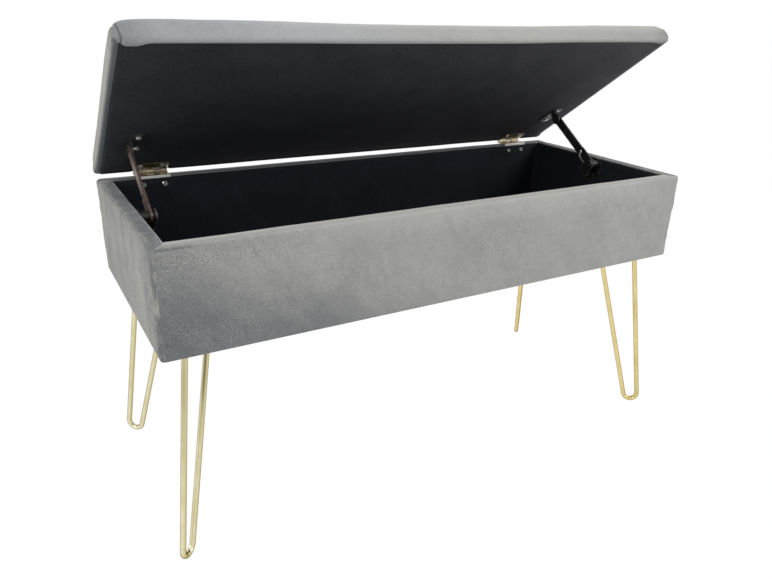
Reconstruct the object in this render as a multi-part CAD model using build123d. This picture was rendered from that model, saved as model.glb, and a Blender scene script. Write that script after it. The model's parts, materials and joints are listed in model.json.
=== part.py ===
"""Storage bench: a velvet-covered box on four hairpin legs, with a padded lid held open by two slotted stays.

Millimetres, +Z up, +X along the bench, -Y the front. The floor is z = 0. The lid is drawn shut and then
turned about its hinge axis to the open position in which the bench stands at rest.
"""
import os
from math import acos, atan2, cos, degrees, hypot, radians, sin, sqrt

from build123d import *

# Whole bench
LENGTH = 850.0
DEPTH = 345.0
BODY_HEIGHT = 137.0
LEG_HEIGHT = 294.0
LID_OPEN_ANGLE = 35.5

# Boards, velvet and linings
PANEL_T = 15.0
BOTTOM_T = 12.0
VELVET_T = 2.3
LINING_T = 1.5
HEM_T = 1.2
HEM_WIDTH = 16.0
SOFT_GAP = 0.3
BODY_CORNER_R = 6.0
RIM_EDGE_R = 5.0
HEM_EDGE_R = 1.0

# Lid
LID_THICKNESS = 31.5
LID_CROWN = 5.0
LID_BOARD_T = 12.0
LID_COVER_T = 1.6
LID_CORNER_R = 17.0
LID_TOP_R = 14.0
LID_TUCK_R = 4.0
LID_BOARD_INSET = 6.0
LID_HEM_WIDTH = 4.0

# Hairpin legs, measured along the corner's diagonal
ROD_D = 8.0
ROD_TOP_OUTER = 50.0
ROD_TOP_INNER = 108.0
FOOT_DIAGONAL = 13.0
BEND_R = 12.0
LEG_PLATE_T = 3.5
LEG_PLATE_EDGE = 12.0
LEG_PLATE_TIP = 38.0
LEG_PLATE_HEEL = 112.0
LEG_PLATE_HALF = 28.0
LEG_HOLE_NEAR = 74.0
LEG_HOLE_NEAR_HALF = 14.0

# Hinges
HINGE_FROM_END = 78.0
HINGE_WIDTH = 50.0
HINGE_LEAF_T = 1.2
BARREL_R = 2.2
HINGE_PIN_R = 1.1
PIN_CLEARANCE = 0.06
KNUCKLES = 5
KNUCKLE_GAP = 0.3
HINGE_BEHIND = 0.5
HINGE_DROP = 21.0
HINGE_LID_REACH = 24.0
HINGE_SCREW_PITCH = 31.0
HINGE_SCREW_DROP = 11.5
HINGE_LID_SCREW = 16.0

# Lid stays, placed from the hinge axis
STAY_PIN_FORWARD = 186.0
STAY_PIN_BELOW = 13.5
STAY_LID_FORWARD = 102.0
STAY_LID_BELOW = 9.0
STAY_FROM_WALL = 17.0
ARM_T = 3.0
ARM_WIDTH = 15.0
STAY_PIN_R = 2.5
SLOT_CLEARANCE = 0.35
SLOT_RIM = 5.6
STAY_PLATE_T = 2.0
CHEEK_GAP = 3.4
CHEEK_R = 9.0
WEB_OFFSET = 19.5
WEB_BACK = 14.0
WEB_FRONT = -8.0
WALL_EAR_R = 7.5
WALL_EARS = ((-19.0, 14.0), (15.0, 9.0), (-3.0, 28.0))
FLANGE_GAP = 0.8
LID_PLATE_LENGTH = 50.0
LID_PLATE_WIDTH = 21.0
LID_PLATE_SCREW_PITCH = 32.0
FLANGE_HALF = 8.5
RIVET_R = 2.2
RIVET_HEAD_T = 1.4

# Screws
SCREW_R = 1.75
SCREW_HEAD_R = 4.0
SCREW_HEAD_H = 1.6
SCREW_LENGTH = 12.0
LID_SCREW_LENGTH = 11.0
LEG_SCREW_R = 2.2
LEG_SCREW_HEAD_R = 4.6
LEG_SCREW_HEAD_H = 2.4
LEG_SCREW_LENGTH = 14.0
PANEL_SCREW_R = 2.4
PANEL_SCREW_HEAD_R = 4.4
PANEL_SCREW_LENGTH = 44.0
PANEL_SCREW_SINK = 1.0
HOLE_CLEARANCE = 0.05

# Levels and faces that follow from the sizes above
body_z0 = LEG_HEIGHT + SOFT_GAP
rim_z = body_z0 + BODY_HEIGHT
panel_z0 = body_z0 + HEM_T + SOFT_GAP
panel_z1 = rim_z - VELVET_T - SOFT_GAP
panel_x = LENGTH / 2 - VELVET_T - SOFT_GAP
panel_y = DEPTH / 2 - VELVET_T - SOFT_GAP
well_x = panel_x - PANEL_T - SOFT_GAP - LINING_T
well_y = panel_y - PANEL_T - SOFT_GAP - LINING_T
bottom_z1 = panel_z0 + BOTTOM_T
well_z0 = bottom_z1 + SOFT_GAP + LINING_T
hinge_y = DEPTH / 2 + BARREL_R + HINGE_BEHIND
hinge_z = rim_z + SOFT_GAP + BARREL_R
hinge_x = LENGTH / 2 - HINGE_FROM_END
lid_z0 = hinge_z + BARREL_R + SOFT_GAP
lid_z1 = lid_z0 + LID_THICKNESS
board_z0 = lid_z0 + HEM_T + SOFT_GAP
rod_r = ROD_D / 2

hinge_axis = Axis((0, hinge_y, hinge_z), (-1, 0, 0))


def slab(x0, x1, y0, y1, z0, z1):
    """A square-edged block between two opposite corners."""
    return Pos((x0 + x1) / 2, (y0 + y1) / 2, (z0 + z1) / 2) * Box(x1 - x0, y1 - y0, z1 - z0)


def rounded_block(length, depth, z0, z1, corner_r):
    """An upright block with rounded corners in plan."""
    return extrude(Pos(0, 0, z0) * RectangleRounded(length, depth, corner_r), z1 - z0)


def open_lid(part):
    """Turns a piece of the lid from shut to open."""
    return part.rotate(hinge_axis, LID_OPEN_ANGLE)


def screw_at(place, radius, length, head_r, head_h):
    """A cross-headed pan screw: head above the place's plane, shank below it."""
    head = Cylinder(head_r, head_h, align=(Align.CENTER, Align.CENTER, Align.MIN))
    head = chamfer(head.edges().sort_by(Axis.Z)[-1], head_h * 0.5)
    shank = Cylinder(radius, length, align=(Align.CENTER, Align.CENTER, Align.MAX))
    slot = Box(head_r * 1.15, head_r * 0.28, head_h * 0.6, align=(Align.CENTER, Align.CENTER, Align.MAX))
    slot = Pos(0, 0, head_h) * slot
    return place * (head + shank - slot - Rot(0, 0, 90) * slot)


def drill(part, places, radius, length):
    """Holes for the shanks of the screws at these places."""
    hole = Cylinder(radius + HOLE_CLEARANCE, length * 2 + 0.5)
    for place in places:
        part -= place * hole
    return part


def both_ends(part):
    """A right-hand piece and its mirror at the left end."""
    return {"right": part, "left": mirror(part, about=Plane.YZ)}


# Box panels, joined at the corners with sunk screws

front_panel = slab(-panel_x, panel_x, -panel_y, -panel_y + PANEL_T, panel_z0, panel_z1)
outer_edges = front_panel.edges().filter_by(Axis.Z).group_by(Axis.Y)[0]
front_panel = fillet(outer_edges, BODY_CORNER_R - VELVET_T)
back_panel = mirror(front_panel, about=Plane.XZ)
right_panel = slab(panel_x - PANEL_T, panel_x, -panel_y + PANEL_T, panel_y - PANEL_T, panel_z0, panel_z1)
left_panel = mirror(right_panel, about=Plane.YZ)
bottom_panel = slab(
    -panel_x + PANEL_T, panel_x - PANEL_T, -panel_y + PANEL_T, panel_y - PANEL_T, panel_z0, bottom_z1
)

panel_places = []
for side in (-1, 1):
    screw_y = side * (panel_y - PANEL_SCREW_SINK)
    face = Plane((0, screw_y, 0), x_dir=(1, 0, 0), z_dir=(0, side, 0))
    for end in (-1, 1):
        for share in (0.38, 0.8):
            spot = (end * (panel_x - PANEL_T / 2), screw_y, panel_z0 + share * (panel_z1 - panel_z0))
            panel_places.append(Plane(spot, face.x_dir, face.z_dir).location)
    for share in (-0.6, 0, 0.6):
        spot = (share * panel_x, screw_y, panel_z0 + BOTTOM_T / 2)
        panel_places.append(Plane(spot, face.x_dir, face.z_dir).location)


def sunk_screw(radius, head_r, length):
    """A countersunk screw whose head is level with the place's plane."""
    cone = Cone(radius, head_r, head_r - radius, align=(Align.CENTER, Align.CENTER, Align.MAX))
    return cone + Cylinder(radius, length, align=(Align.CENTER, Align.CENTER, Align.MAX))


panel_screw = sunk_screw(PANEL_SCREW_R, PANEL_SCREW_HEAD_R, PANEL_SCREW_LENGTH)
panel_screw_hole = sunk_screw(
    PANEL_SCREW_R + HOLE_CLEARANCE, PANEL_SCREW_HEAD_R + HOLE_CLEARANCE, PANEL_SCREW_LENGTH + HOLE_CLEARANCE
)
panel_screw_hole += Cylinder(
    PANEL_SCREW_HEAD_R + HOLE_CLEARANCE, 2 * PANEL_SCREW_SINK, align=(Align.CENTER, Align.CENTER, Align.MIN)
)
panel_screws = [place * panel_screw for place in panel_places]
for place in panel_places:
    cut = place * panel_screw_hole
    at_front = place.position.Y < 0
    if at_front:
        front_panel -= cut
    else:
        back_panel -= cut
    if abs(place.position.X) < panel_x - PANEL_T:
        bottom_panel -= cut
    elif place.position.X > 0:
        right_panel -= cut
    else:
        left_panel -= cut

# Velvet round the outside and over the rim, hemmed under the bottom

body_cover = rounded_block(LENGTH, DEPTH, body_z0, rim_z, BODY_CORNER_R)
body_cover = fillet(body_cover.edges().group_by(Axis.Z)[-1], RIM_EDGE_R)
body_cover = fillet(body_cover.edges().group_by(Axis.Z)[0], HEM_EDGE_R)
panel_room = rounded_block(
    2 * (panel_x + SOFT_GAP),
    2 * (panel_y + SOFT_GAP),
    panel_z0 - SOFT_GAP,
    panel_z1 + SOFT_GAP,
    BODY_CORNER_R - VELVET_T + SOFT_GAP,
)
body_cover -= panel_room
body_cover -= slab(-well_x, well_x, -well_y, well_y, rim_z - 2 * VELVET_T, rim_z + VELVET_T)
hem_x = LENGTH / 2 - HEM_WIDTH
hem_y = DEPTH / 2 - HEM_WIDTH
body_cover -= slab(-hem_x, hem_x, -hem_y, hem_y, body_z0 - HEM_T, body_z0 + 2 * HEM_T)

dust_cover = slab(
    -hem_x + SOFT_GAP, hem_x - SOFT_GAP, -hem_y + SOFT_GAP, hem_y - SOFT_GAP, body_z0, body_z0 + HEM_T
)

# Lining of the storage well

well_lining = slab(
    -well_x - LINING_T, well_x + LINING_T, -well_y - LINING_T, well_y + LINING_T, well_z0 - LINING_T, panel_z1
)
well_lining -= slab(-well_x, well_x, -well_y, well_y, well_z0, rim_z)

# Hairpin legs: one rod bent to a narrow U and welded to a plate, set on the corner's diagonal


def tangent_point(end_x, end_z, centre_x, centre_z, radius, side):
    """Where a straight rod from the given end meets the bend at the foot."""
    reach = hypot(end_x - centre_x, end_z - centre_z)
    turn = atan2(end_z - centre_z, end_x - centre_x) + side * acos(radius / reach)
    return centre_x + radius * cos(turn), centre_z + radius * sin(turn), turn


def hairpin_leg():
    """A leg in its own frame: the corner at the origin, X inwards along the diagonal."""
    centre_z = BEND_R + rod_r
    top_z = LEG_HEIGHT - LEG_PLATE_T / 2
    outer_x, outer_z, outer_turn = tangent_point(ROD_TOP_OUTER, top_z, FOOT_DIAGONAL, centre_z, BEND_R, 1)
    inner_x, inner_z, inner_turn = tangent_point(ROD_TOP_INNER, top_z, FOOT_DIAGONAL, centre_z, BEND_R, -1)
    foot = (FOOT_DIAGONAL, 0, rod_r)
    path = Wire(
        [
            Line((ROD_TOP_OUTER, 0, top_z), (outer_x, 0, outer_z)).edge(),
            ThreePointArc((outer_x, 0, outer_z), foot, (inner_x, 0, inner_z)).edge(),
            Line((inner_x, 0, inner_z), (ROD_TOP_INNER, 0, top_z)).edge(),
        ]
    )
    rod = sweep(Plane(path @ 0, z_dir=path % 0) * Circle(rod_r), path)
    tip = Pos(LEG_PLATE_TIP, 0) * Circle(LEG_PLATE_EDGE)
    heel = Pos(LEG_PLATE_HEEL, LEG_PLATE_HALF) * Circle(LEG_PLATE_EDGE)
    heel += Pos(LEG_PLATE_HEEL, -LEG_PLATE_HALF) * Circle(LEG_PLATE_EDGE)
    plate = make_hull((tip.edges() + heel.edges()))
    plate = extrude(Pos(0, 0, LEG_HEIGHT - LEG_PLATE_T) * plate, LEG_PLATE_T)
    return plate + rod


leg_holes = []
for half in (-1, 1):
    leg_holes.append((LEG_PLATE_HEEL, half * LEG_PLATE_HALF))
    leg_holes.append((LEG_HOLE_NEAR, half * LEG_HOLE_NEAR_HALF))
leg = hairpin_leg()
screw_down = Rot(180, 0, 0)
local_places = [Pos(x, y, LEG_HEIGHT - LEG_PLATE_T) * screw_down for x, y in leg_holes]
leg = drill(leg, local_places, LEG_SCREW_R, LEG_PLATE_T)

leg_turns = {
    "front_left": (-1, -1, 45),
    "front_right": (1, -1, 135),
    "back_right": (1, 1, 225),
    "back_left": (-1, 1, 315),
}
legs = {}
leg_places = []
for name, (side_x, side_y, turn) in leg_turns.items():
    corner = Pos(side_x * LENGTH / 2, side_y * DEPTH / 2) * Rot(0, 0, turn)
    legs[name] = corner * leg
    leg_places += [corner * place for place in local_places]
leg_screws = [
    screw_at(place, LEG_SCREW_R, LEG_SCREW_LENGTH, LEG_SCREW_HEAD_R, LEG_SCREW_HEAD_H) for place in leg_places
]
bottom_panel = drill(bottom_panel, leg_places, LEG_SCREW_R, LEG_SCREW_LENGTH)
dust_cover = drill(dust_cover, leg_places, LEG_SCREW_R + SOFT_GAP, LEG_SCREW_LENGTH)

# Butt hinges: one leaf bent over the rim and down the inner back wall, one under the lid


def knuckle(first, last, centre_x):
    """A stretch of the barrel, bored for the pin."""
    width = HINGE_WIDTH / KNUCKLES
    x0 = centre_x - HINGE_WIDTH / 2 + first * width + (KNUCKLE_GAP / 2 if first else 0)
    x1 = centre_x - HINGE_WIDTH / 2 + last * width - (KNUCKLE_GAP / 2 if last < KNUCKLES else 0)
    turn = Plane((x0, hinge_y, hinge_z), x_dir=(0, 1, 0), z_dir=(1, 0, 0))
    return x0, x1, extrude(turn * Circle(BARREL_R), x1 - x0)


def barrel_bore(centre_x):
    """The hole along the barrel."""
    turn = Plane((centre_x, hinge_y, hinge_z), x_dir=(0, 1, 0), z_dir=(1, 0, 0))
    return extrude(turn * Circle(HINGE_PIN_R + PIN_CLEARANCE), HINGE_WIDTH, both=True)


rim_leaf_z0 = hinge_z - BARREL_R
rim_leaf_z1 = rim_leaf_z0 + HINGE_LEAF_T
wall_leaf_y = well_y + LINING_T
over_leaf_y = wall_leaf_y - HINGE_LEAF_T - SOFT_GAP
lid_leaf_z1 = hinge_z + BARREL_R
lid_leaf_z0 = lid_leaf_z1 - HINGE_LEAF_T
lid_leaf_y0 = DEPTH / 2 - HINGE_LID_REACH
leaf_y1 = hinge_y - BARREL_R - KNUCKLE_GAP

hinge_box_places = []
hinge_lid_places = []


def hinge_at(centre_x):
    """The two leaves and the pin of one hinge, with the lid shut."""
    x0 = centre_x - HINGE_WIDTH / 2
    x1 = centre_x + HINGE_WIDTH / 2
    bend_y = wall_leaf_y - HINGE_LEAF_T
    rim_leaf = slab(x0, x1, bend_y, leaf_y1, rim_leaf_z0, rim_leaf_z1)
    rim_leaf += slab(x0, x1, bend_y, wall_leaf_y, rim_z - HINGE_DROP, rim_leaf_z1)
    corner = rim_leaf.edges().filter_by(Axis.X).group_by(Axis.Y)[0].sort_by(Axis.Z)[-1]
    rim_leaf = fillet(corner, HINGE_LEAF_T)
    lower = rim_leaf.edges().filter_by(Axis.Y).group_by(Axis.Z)[0]
    rim_leaf = fillet(lower, 4 * HINGE_LEAF_T)
    lid_leaf = slab(x0, x1, lid_leaf_y0, leaf_y1, lid_leaf_z0, lid_leaf_z1)
    lid_leaf = fillet(lid_leaf.edges().filter_by(Axis.Z).group_by(Axis.Y)[0], 2 * HINGE_LEAF_T)
    for n in range(KNUCKLES):
        k0, k1, tube = knuckle(n, n + 1, centre_x)
        if n % 2 == 0:
            rim_leaf += tube + slab(k0, k1, leaf_y1, hinge_y, rim_leaf_z0, rim_leaf_z1)
        else:
            lid_leaf += tube + slab(k0, k1, leaf_y1, hinge_y, lid_leaf_z0, lid_leaf_z1)
    rim_leaf -= barrel_bore(centre_x)
    lid_leaf -= barrel_bore(centre_x)
    box_places = []
    lid_places = []
    for half in (-0.5, 0.5):
        x = centre_x + half * HINGE_SCREW_PITCH
        spot = (x, over_leaf_y - LINING_T, rim_z - HINGE_SCREW_DROP)
        box_places.append(Plane(spot, x_dir=(1, 0, 0), z_dir=(0, -1, 0)).location)
        lid_places.append(Pos(x, DEPTH / 2 - HINGE_LID_SCREW, lid_leaf_z0) * screw_down)
    rim_leaf = drill(rim_leaf, box_places, SCREW_R, SCREW_LENGTH)
    lid_leaf = drill(lid_leaf, lid_places, SCREW_R, 2 * HINGE_LEAF_T)
    hinge_box_places.extend(box_places)
    hinge_lid_places.extend(lid_places)
    bar = Plane((x0, hinge_y, hinge_z), x_dir=(0, 1, 0), z_dir=(1, 0, 0))
    pin = extrude(bar * Circle(HINGE_PIN_R), HINGE_WIDTH)
    return rim_leaf, lid_leaf, pin


hinge_box_leaf_right, hinge_lid_leaf_right, hinge_pin_right = hinge_at(hinge_x)
hinge_box_leaf_left, hinge_lid_leaf_left, hinge_pin_left = hinge_at(-hinge_x)

# The lining stands out over each leaf, and the velvet is notched where the leaf passes the rim
for side in (-1, 1):
    x0 = side * hinge_x - HINGE_WIDTH / 2 - SOFT_GAP
    x1 = side * hinge_x + HINGE_WIDTH / 2 + SOFT_GAP
    leaf_z0 = rim_z - HINGE_DROP - SOFT_GAP
    well_lining += slab(
        x0 - LINING_T, x1 + LINING_T, over_leaf_y - LINING_T, wall_leaf_y, leaf_z0 - LINING_T, panel_z1
    )
    well_lining -= slab(x0, x1, over_leaf_y, wall_leaf_y + SOFT_GAP, leaf_z0, rim_z)
    body_cover -= slab(x0, x1, well_y - SOFT_GAP, wall_leaf_y + SOFT_GAP, panel_z1 - SOFT_GAP, rim_z + SOFT_GAP)

# Lid stays. Seen from the right, each arm hangs from the lid's bracket and slides on a pin fixed to the wall.
# The slot follows the pin's path through the arm while the arm turns at a steady rate with the lid.

pin_y = hinge_y - STAY_PIN_FORWARD
pin_z = hinge_z - STAY_PIN_BELOW


def lid_pivot(opening):
    """Where the arm's rivet is, with the lid opened by so many degrees."""
    turn = radians(opening)
    y = hinge_y - STAY_LID_FORWARD * cos(turn) - STAY_LID_BELOW * sin(turn)
    z = hinge_z + STAY_LID_FORWARD * sin(turn) - STAY_LID_BELOW * cos(turn)
    return y, z


def arm_heading(opening):
    """The direction from the rivet to the wall pin, in degrees from +Y towards +Z."""
    y, z = lid_pivot(opening)
    return degrees(atan2(pin_z - z, pin_y - y)) % 360


heading_open = arm_heading(LID_OPEN_ANGLE)
heading_shut = arm_heading(0)


def pin_in_arm(share):
    """The wall pin seen from the arm, when the lid has fallen by this share of its travel."""
    y, z = lid_pivot(LID_OPEN_ANGLE * (1 - share))
    heading = radians(heading_open + (heading_shut - heading_open) * share)
    along = (pin_y - y) * cos(heading) + (pin_z - z) * sin(heading)
    across = (pin_z - z) * cos(heading) - (pin_y - y) * sin(heading)
    return along, across


def slot_along_pin(half_width):
    """The outline that a round pin sweeps through the arm, with round ends."""
    near_side = []
    far_side = []
    for step in range(7):
        share = step / 6
        along, across = pin_in_arm(share)
        before = pin_in_arm(share - 0.01)
        after = pin_in_arm(share + 0.01)
        run = hypot(after[0] - before[0], after[1] - before[1])
        lean = half_width * (after[1] - before[1]) / run
        rise = half_width * (after[0] - before[0]) / run
        near_side.append((along + lean, across - rise))
        far_side.append((along - lean, across + rise))
    ends = []
    for start, side in ((0, -1), (1, 1)):
        along, across = pin_in_arm(start)
        step = pin_in_arm(start + side * 0.01)
        run = hypot(step[0] - along, step[1] - across)
        tip = (along + half_width * (step[0] - along) / run, across + half_width * (step[1] - across) / run)
        ends.append(tip)
    edges = [
        Spline(near_side).edge(),
        ThreePointArc(near_side[-1], ends[1], far_side[-1]).edge(),
        Spline(far_side).edge(),
        ThreePointArc(near_side[0], ends[0], far_side[0]).edge(),
    ]
    return make_face(edges)


arm_x = well_x - STAY_FROM_WALL
arm_x0 = arm_x - ARM_T / 2
arm_x1 = arm_x + ARM_T / 2
flange_x1 = arm_x0 - FLANGE_GAP
flange_x0 = flange_x1 - STAY_PLATE_T
wall_plate_x1 = well_x - SOFT_GAP
wall_plate_x0 = wall_plate_x1 - STAY_PLATE_T
cheek_x1 = arm_x0 - CHEEK_GAP
cheek_x0 = cheek_x1 - STAY_PLATE_T


def side_plane(x, y, z, heading=0.0):
    """A plane facing along the bench, its own X turned from +Y towards +Z."""
    turn = radians(heading)
    return Plane((x, y, z), x_dir=(0, cos(turn), sin(turn)), z_dir=(1, 0, 0))


def plate_from(outline, plane, thickness):
    """A flat plate cut to an outline in a side plane."""
    return extrude(plane * outline, thickness)


rivet_y, rivet_z = lid_pivot(LID_OPEN_ANGLE)
slot_outline = slot_along_pin(STAY_PIN_R + SLOT_CLEARANCE)
pad_r = STAY_PIN_R + SLOT_CLEARANCE + SLOT_RIM
pad_edges = ShapeList()
for share in range(4):
    pad_edges += (Pos(*pin_in_arm(share / 3)) * Circle(pad_r)).edges()
slot_pad = make_hull(pad_edges)
bar_length = pin_in_arm(1)[0]
bar = Pos(bar_length / 2, 0) * SlotCenterToCenter(bar_length, ARM_WIDTH)
rivet_hole = Circle(RIVET_R + PIN_CLEARANCE)
arm_plane = side_plane(arm_x0, rivet_y, rivet_z, heading_open)
stay_arm = plate_from(bar + slot_pad, arm_plane, ARM_T)
stay_arm -= plate_from(slot_outline + rivet_hole, side_plane(arm_x0 - 1, rivet_y, rivet_z, heading_open), ARM_T + 2)

# Wall bracket: a three-eared plate on the wall, a web and an inner cheek that holds the pin's other end


def bracket_plane(x):
    """The bracket's own frame: X down along the open arm, Y to the rear of it."""
    return side_plane(x, pin_y, pin_z, heading_open)


ears = [Pos(x, y) * Circle(WALL_EAR_R) for x, y in WALL_EARS]
wall_outline = make_hull((ears[0] + ears[1] + ears[2] + Circle(CHEEK_R)).edges())
web_line = Pos((WEB_FRONT - WEB_BACK) / 2 - WEB_FRONT, WEB_OFFSET + STAY_PLATE_T / 2)
web_outline = web_line * Rectangle(WEB_BACK - WEB_FRONT, STAY_PLATE_T)
cheek_outline = make_hull((web_outline + Circle(CHEEK_R)).edges())
wall_bracket = plate_from(wall_outline, bracket_plane(wall_plate_x0), STAY_PLATE_T)
wall_bracket += plate_from(web_outline, bracket_plane(cheek_x0), wall_plate_x1 - cheek_x0)
wall_bracket += plate_from(cheek_outline, bracket_plane(cheek_x0), STAY_PLATE_T)
pin_hole = Circle(STAY_PIN_R + HOLE_CLEARANCE)
wall_bracket -= plate_from(pin_hole, bracket_plane(cheek_x0 - 1), wall_plate_x1 - cheek_x0 + 2)
stay_wall_places = []
for x, y in WALL_EARS:
    spot = bracket_plane(wall_plate_x0).from_local_coords((x, y, 0))
    stay_wall_places.append(Plane(spot, x_dir=(0, 1, 0), z_dir=(-1, 0, 0)).location)
wall_bracket = drill(wall_bracket, stay_wall_places, SCREW_R, 2 * STAY_PLATE_T)

stay_pin = plate_from(Circle(STAY_PIN_R), bracket_plane(cheek_x0), wall_plate_x1 - cheek_x0)
pin_head = plate_from(Circle(2 * STAY_PIN_R), bracket_plane(cheek_x0 - STAY_PLATE_T), STAY_PLATE_T)
stay_pin += chamfer(pin_head.edges().group_by(Axis.X)[0], 0.5 * STAY_PLATE_T)

ring = Circle(CHEEK_R - SLOT_RIM / 2) - Circle(STAY_PIN_R + HOLE_CLEARANCE)
inner_spacer = plate_from(ring, bracket_plane(cheek_x1), CHEEK_GAP - SOFT_GAP)
outer_spacer = plate_from(ring, bracket_plane(arm_x1 + SOFT_GAP), wall_plate_x0 - arm_x1 - SOFT_GAP)
stay_spacers = [inner_spacer, outer_spacer]

# Lid bracket, drawn with the lid shut: a plate with round ends and a flange hanging from its outer edge
shut_y, shut_z = lid_pivot(0)
plate_z1 = lid_z0 - SOFT_GAP
plate_z0 = plate_z1 - STAY_PLATE_T
plate_x0 = flange_x1 - LID_PLATE_WIDTH
plate_middle = (plate_x0 + flange_x1) / 2
lid_plate = Pos(plate_middle, shut_y, plate_z0) * RectangleRounded(
    LID_PLATE_WIDTH, LID_PLATE_LENGTH, 0.42 * LID_PLATE_WIDTH
)
lid_bracket = extrude(lid_plate, STAY_PLATE_T)
flange_plane = side_plane(flange_x0, shut_y, shut_z)
flange_top = plate_z1 - shut_z
flange_outline = Circle(FLANGE_HALF)
flange_outline += Pos(0, flange_top / 2) * Rectangle(2 * FLANGE_HALF, flange_top)
flange_outline -= Pos(0, flange_top + FLANGE_HALF) * Rectangle(4 * FLANGE_HALF, 2 * FLANGE_HALF)
lid_bracket += plate_from(flange_outline, flange_plane, STAY_PLATE_T)
lid_bracket -= plate_from(rivet_hole, side_plane(flange_x0 - 1, shut_y, shut_z), STAY_PLATE_T + 2)
stay_lid_places = []
for half in (-0.5, 0.5):
    spot = Pos(plate_middle, shut_y + half * LID_PLATE_SCREW_PITCH, plate_z0)
    stay_lid_places.append(spot * screw_down)
lid_bracket = drill(lid_bracket, stay_lid_places, SCREW_R, 2 * STAY_PLATE_T)

rivet = plate_from(Circle(RIVET_R), side_plane(flange_x0, shut_y, shut_z), arm_x1 + FLANGE_GAP - flange_x0)
for start in (flange_x0 - RIVET_HEAD_T, arm_x1 + FLANGE_GAP):
    rivet += plate_from(Circle(2 * RIVET_R), side_plane(start, shut_y, shut_z), RIVET_HEAD_T)

# Screws of the hinges and stays, and the holes that they make


def mirrored_places(places):
    """The same places at the other end of the bench."""
    other = []
    for place in places:
        plane = Plane(place)
        spot = (-plane.origin.X, plane.origin.Y, plane.origin.Z)
        z_dir = (-plane.z_dir.X, plane.z_dir.Y, plane.z_dir.Z)
        other.append(Plane(spot, x_dir=plane.x_dir, z_dir=z_dir).location)
    return other


stay_wall_places += mirrored_places(stay_wall_places)
stay_lid_places += mirrored_places(stay_lid_places)


def screws(places, length):
    """One screw for each place."""
    return [screw_at(place, SCREW_R, length, SCREW_HEAD_R, SCREW_HEAD_H) for place in places]


hinge_box_screws = screws(hinge_box_places, SCREW_LENGTH)
hinge_lid_screws = screws(hinge_lid_places, LID_SCREW_LENGTH)
stay_wall_screws = screws(stay_wall_places, SCREW_LENGTH)
stay_lid_screws = screws(stay_lid_places, LID_SCREW_LENGTH)

well_lining = drill(well_lining, hinge_box_places + stay_wall_places, SCREW_R + SOFT_GAP, SCREW_LENGTH)
back_panel = drill(back_panel, hinge_box_places, SCREW_R, SCREW_LENGTH)
right_panel = drill(right_panel, [p for p in stay_wall_places if p.position.X > 0], SCREW_R, SCREW_LENGTH)
left_panel = drill(left_panel, [p for p in stay_wall_places if p.position.X < 0], SCREW_R, SCREW_LENGTH)

# Lid: a board under a foam pad that rolls over its edges, wrapped in velvet and lined below


def cushion(inset):
    """The lid's form, crowned across its depth and drawn in below, shrunk by an inset on every side but the bottom."""
    length = LENGTH - 2 * inset
    depth = DEPTH - 2 * inset
    z0 = lid_z0 + (HEM_T if inset else 0) + (SOFT_GAP if inset > LID_COVER_T else 0)
    z1 = lid_z1 - inset
    crown_r = ((DEPTH / 2) ** 2 + LID_CROWN**2) / (2 * LID_CROWN)
    crown = Plane.YZ * Pos(0, lid_z1 + LID_CROWN - crown_r) * Circle(crown_r - inset)
    block = rounded_block(length, depth, z0, z1 + 2 * LID_CROWN, LID_CORNER_R - inset)
    block = block & extrude(crown, LENGTH, both=True)
    block = fillet(block.edges().filter_by(lambda e: e.center().Z > z1 - LID_CROWN), LID_TOP_R - inset)
    return fillet(block.edges().group_by(Axis.Z)[0], max(LID_TUCK_R - inset, 1.0))


lid_cover = cushion(0)
padded = cushion(LID_COVER_T)
foam_form = cushion(LID_COVER_T + SOFT_GAP)
lid_board = rounded_block(
    LENGTH - 2 * LID_BOARD_INSET,
    DEPTH - 2 * LID_BOARD_INSET,
    board_z0,
    board_z0 + LID_BOARD_T,
    LID_CORNER_R - LID_BOARD_INSET,
)
board_room = rounded_block(
    LENGTH - 2 * LID_BOARD_INSET + 2 * SOFT_GAP,
    DEPTH - 2 * LID_BOARD_INSET + 2 * SOFT_GAP,
    lid_z0,
    board_z0 + LID_BOARD_T + SOFT_GAP,
    LID_CORNER_R - LID_BOARD_INSET + SOFT_GAP,
)
lid_foam = foam_form - board_room
lid_cover -= padded
lining_inset = LID_TUCK_R + LID_HEM_WIDTH
lining_x = LENGTH / 2 - lining_inset
lining_y = DEPTH / 2 - lining_inset
lid_cover -= slab(-lining_x, lining_x, -lining_y, lining_y, lid_z0 - 1, board_z0)
lid_lining = slab(
    -lining_x + SOFT_GAP, lining_x - SOFT_GAP, -lining_y + SOFT_GAP, lining_y - SOFT_GAP, lid_z0, lid_z0 + HEM_T
)
lid_places = hinge_lid_places + stay_lid_places
lid_board = drill(lid_board, lid_places, SCREW_R, LID_SCREW_LENGTH)
lid_lining = drill(lid_lining, lid_places, SCREW_R + SOFT_GAP, LID_SCREW_LENGTH)
lid_cover = drill(lid_cover, hinge_lid_places, SCREW_R + SOFT_GAP, LID_SCREW_LENGTH / 2)

# Every piece by name, in the open position

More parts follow.
